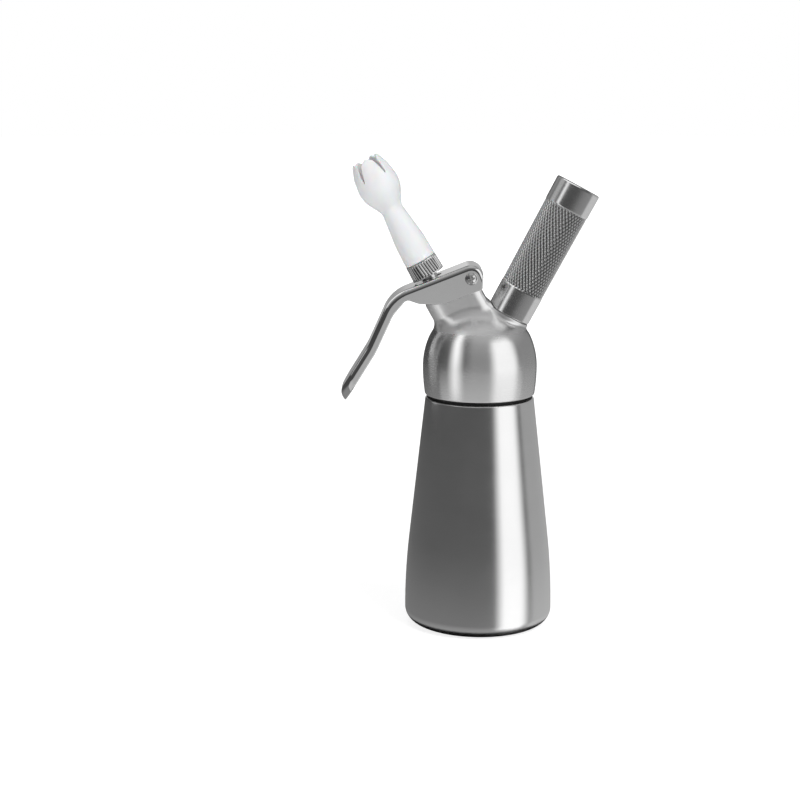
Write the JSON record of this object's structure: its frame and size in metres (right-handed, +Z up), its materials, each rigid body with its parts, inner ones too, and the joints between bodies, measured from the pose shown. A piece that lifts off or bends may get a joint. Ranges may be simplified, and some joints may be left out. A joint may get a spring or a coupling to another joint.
{
  "type": "whipped cream dispenser",
  "caption": "Hand-held whipped cream dispenser: brushed bottle, screw head with squeeze lever and piped nozzle, knurled gas charger holder.",
  "frame": {"origin": "centre of the bottle's foot ring, on the surface it stands on", "axes": "+Z up the bottle's axis; the nozzle and the lever lean to -X, the charger holder leans to +X"},
  "size_m": [0.1281, 0.075, 0.2387],
  "materials": {
    "bottle": "brushed round the axis",
    "head": "turned side, satin crown",
    "lever": "polished, pressed sheet",
    "holder": "satin diamond knurl between polished ends",
    "nozzle": "white, slightly translucent",
    "collar": "turned, finely knurled",
    "stem": "turned",
    "screw": "cross head, bright",
    "spring": "drawn wire",
    "needle": "turned",
    "gas_valve": "turned",
    "seal": "black food-grade rubber",
    "gasket": "pale food-grade rubber",
    "charger": "plated drawn steel",
    "charger_cap": "foil disc"
  },
  "bodies": {
    "bottle": {"bottle": "bottle"},
    "gasket": {"head_gasket": "gasket"},
    "head": {"head": "head", "piercing_pin": "needle", "pin_seal": "seal", "gas_valve_nut": "gas_valve", "gas_valve_seal": "seal"},
    "lever": {"lever": "lever", "pivot_screw": "screw", "pivot_sleeve": "screw"},
    "valve": {"valve_stem": "stem", "valve_seal": "seal", "stem_o_ring": "seal", "return_spring": "spring", "spring_collar": "collar", "nozzle_collar": "collar", "nozzle_washer": "seal", "nozzle": "nozzle"},
    "charger": {"charger": "charger", "charger_cap": "charger_cap"},
    "holder": {"charger_holder": "holder"}
  },
  "joints": [
    {"name": "head_lift", "type": "slide", "parent": "bottle", "child": "gasket", "axis": [0, 0, 1], "range_m": [0, 0.0106]},
    {"name": "head_turn", "type": "hinge", "parent": "gasket", "child": "head", "pos_m": [0, 0, 0], "axis": [0, 0, 1], "range_deg": [0, 1260]},
    {"name": "lever_squeeze", "type": "hinge", "parent": "head", "child": "lever", "pos_m": [-0.00506, 0, 0.17774], "axis": [0, -1, 0], "range_deg": [0, 10], "stiffness_Nm_per_rad": 0.5, "springref_deg": -14.32},
    {"name": "valve_press", "type": "slide", "parent": "head", "child": "valve", "axis": [0.4879, 0, -0.8729], "range_m": [0, 0.003], "deforming": ["return_spring"]},
    {"name": "charger_feed", "type": "slide", "parent": "head", "child": "charger", "axis": [0.4695, 0, 0.8829], "range_m": [0, 0.0121]},
    {"name": "holder_turn", "type": "hinge", "parent": "charger", "child": "holder", "pos_m": [0, 0, 0.132], "axis": [0.4695, 0, 0.8829], "range_deg": [0, 2160]}
  ],
  "couplings": [
    {"joint": "head_lift", "follows": "head_turn", "m_per_rad": 0.00047746},
    {"joint": "valve_press", "follows": "lever_squeeze", "m_per_rad": 0.01604},
    {"joint": "charger_feed", "follows": "holder_turn", "m_per_rad": 0.00031831}
  ]
}
